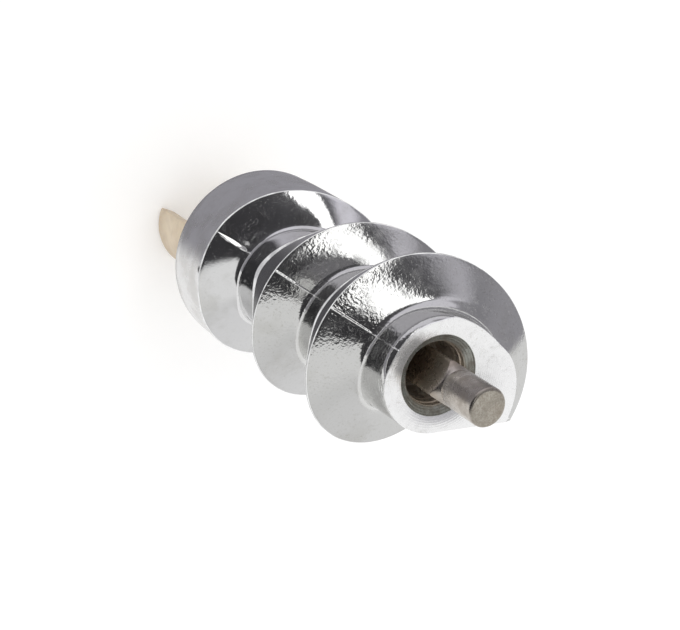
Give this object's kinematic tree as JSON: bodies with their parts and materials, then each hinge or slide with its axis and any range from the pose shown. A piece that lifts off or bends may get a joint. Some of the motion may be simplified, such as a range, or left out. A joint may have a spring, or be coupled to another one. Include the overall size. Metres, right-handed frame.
{
  "type": "meat grinder auger",
  "caption": "Cast left hand screw with a plain drum, a plastic claw coupling at the rear and a squared steel knife pin at the front, for feeding meat through a grinder.",
  "frame": {"origin": "centre of the screw's axis at the flat ends of the coupling's claws", "axes": "+Z along the screw's axis, from the drive end to the tip of the knife pin; the casting's parting plane is Y = 0 and the flats of the pin face along X and Y"},
  "size_m": [0.0458, 0.0458, 0.1463],
  "materials": {
    "cast_aluminium": "polished die casting",
    "pin_steel": "satin, lightly tarnished",
    "coupling_plastic": "soft cream plastic",
    "screw_steel": "plated"
  },
  "bodies": {
    "root": {"auger_body": "cast_aluminium", "knife_pin": "pin_steel", "drive_coupling": "coupling_plastic", "coupling_screw": "screw_steel"}
  },
  "joints": []
}
